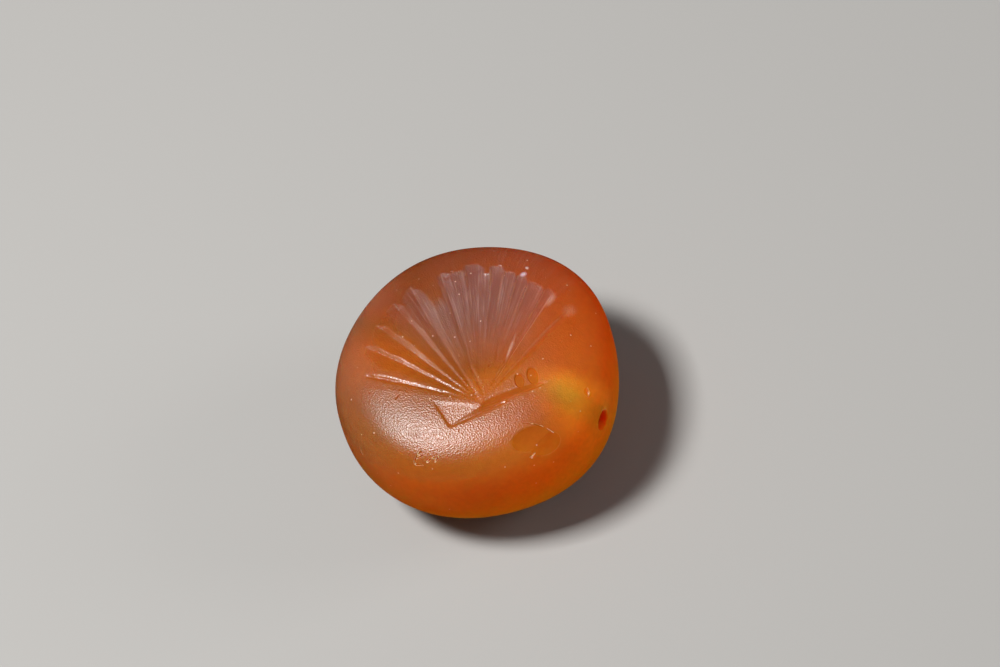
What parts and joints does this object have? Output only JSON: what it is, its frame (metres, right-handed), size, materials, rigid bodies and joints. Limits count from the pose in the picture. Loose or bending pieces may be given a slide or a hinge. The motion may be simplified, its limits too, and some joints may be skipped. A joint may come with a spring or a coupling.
{
  "type": "scarab gem",
  "caption": "Rounded carnelian seal gem with a fan of rays engraved in its domed face, a worn beetle on its back and a string hole through it.",
  "frame": {"origin": "centre of the small flat on the gem's back that it rests on", "axes": "+Z leaves the engraved face, +Y points to the top of the engraved fan, +X to the fan's right"},
  "size_m": [0.0152, 0.0151, 0.0088],
  "materials": {
    "carnelian": "translucent orange-red chalcedony, hand polished and frosted by wear"
  },
  "bodies": {
    "root": {"scarab_gem": "carnelian"}
  },
  "joints": []
}
